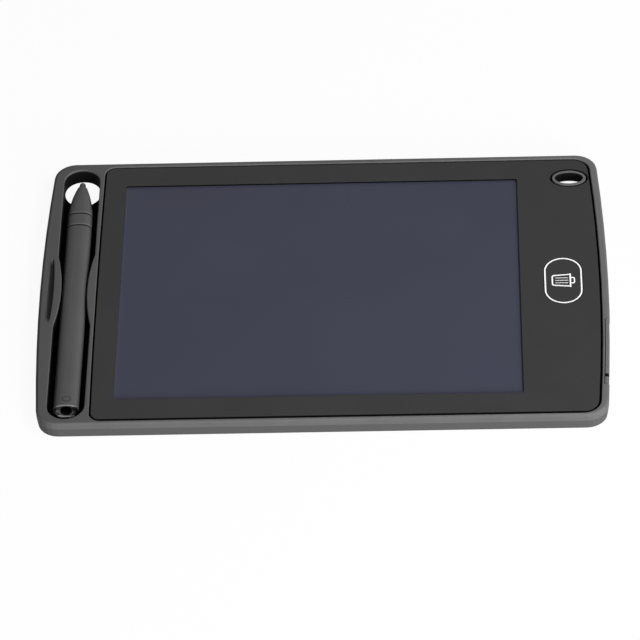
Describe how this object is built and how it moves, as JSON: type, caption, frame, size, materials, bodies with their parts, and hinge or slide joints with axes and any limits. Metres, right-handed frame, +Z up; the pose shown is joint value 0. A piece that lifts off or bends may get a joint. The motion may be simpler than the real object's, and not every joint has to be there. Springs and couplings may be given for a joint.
{
  "type": "lcd writing tablet",
  "caption": "Thin pocket writing tablet with a framed pressure-sensitive screen, an erase key, a stylus clipped in a side slot, a lanyard hole and a sliding coin cell drawer.",
  "frame": {"origin": "middle of the flat back that the tablet lies on", "axes": "+X along the long edge from the stylus slot towards the erase key, +Y towards the lanyard hole's edge, +Z up out of the screen"},
  "size_m": [0.1292, 0.086, 0.0046],
  "materials": {
    "case_plastic": "dark grey moulded plastic, fine matte texture",
    "panel_plastic": "charcoal plastic sheet, matte",
    "film_plastic": "blue-grey writing film, satin",
    "sheet_plastic": "black plastic sheet",
    "foam": "dark closed-cell foam",
    "tape": "black double-sided tape",
    "board_green": "green solder mask",
    "component_black": "black moulded component body",
    "ferrite": "dark grey ferrite",
    "ceramic": "tan ceramic",
    "amber_film": "amber flexible film",
    "nickel": "nickel-plated steel",
    "nib_plastic": "dark grey hard plastic"
  },
  "bodies": {
    "case": {"rear_shell": "case_plastic", "front_cover": "panel_plastic", "cover_adhesive": "tape", "lcd_film": "film_plastic", "lcd_backing": "sheet_plastic", "foam_pad": "foam", "lcd_tail": "amber_film", "tail_clamp": "component_black", "circuit_board": "board_green", "driver_chip": "component_black", "boost_inductor": "ferrite", "storage_capacitor": "ceramic", "bypass_capacitor": "ceramic", "rectifier_diode": "component_black", "pulldown_resistor": "component_black", "switch_body": "component_black", "contact_plus": "nickel", "contact_minus": "nickel"},
    "key": {"erase_key": "panel_plastic", "switch_stem": "panel_plastic"},
    "stylus": {"stylus_nib": "nib_plastic", "stylus_cone": "case_plastic", "stylus_collar": "case_plastic", "stylus_barrel": "case_plastic", "stylus_end_plug": "case_plastic"},
    "drawer": {"battery_tray": "case_plastic", "coin_cell": "nickel"},
    "latch": {"tray_latch": "case_plastic"}
  },
  "joints": [
    {"name": "key_press", "type": "slide", "parent": "case", "child": "key", "axis": [0, 0, -1], "range_m": [0, 0.0003], "stiffness_N_per_m": 400},
    {"name": "stylus_lift", "type": "slide", "parent": "case", "child": "stylus", "axis": [0, 0, 1], "range_m": [0, 0.025]},
    {"name": "drawer_slide", "type": "slide", "parent": "case", "child": "drawer", "axis": [1, 0, 0], "range_m": [0, 0.02]},
    {"name": "latch_flex", "type": "hinge", "parent": "drawer", "child": "latch", "pos_m": [0.0522, -0.0321, 0.00185], "axis": [0, 0, 1], "range_deg": [0, 3], "stiffness_Nm_per_rad": 0.0005}
  ]
}
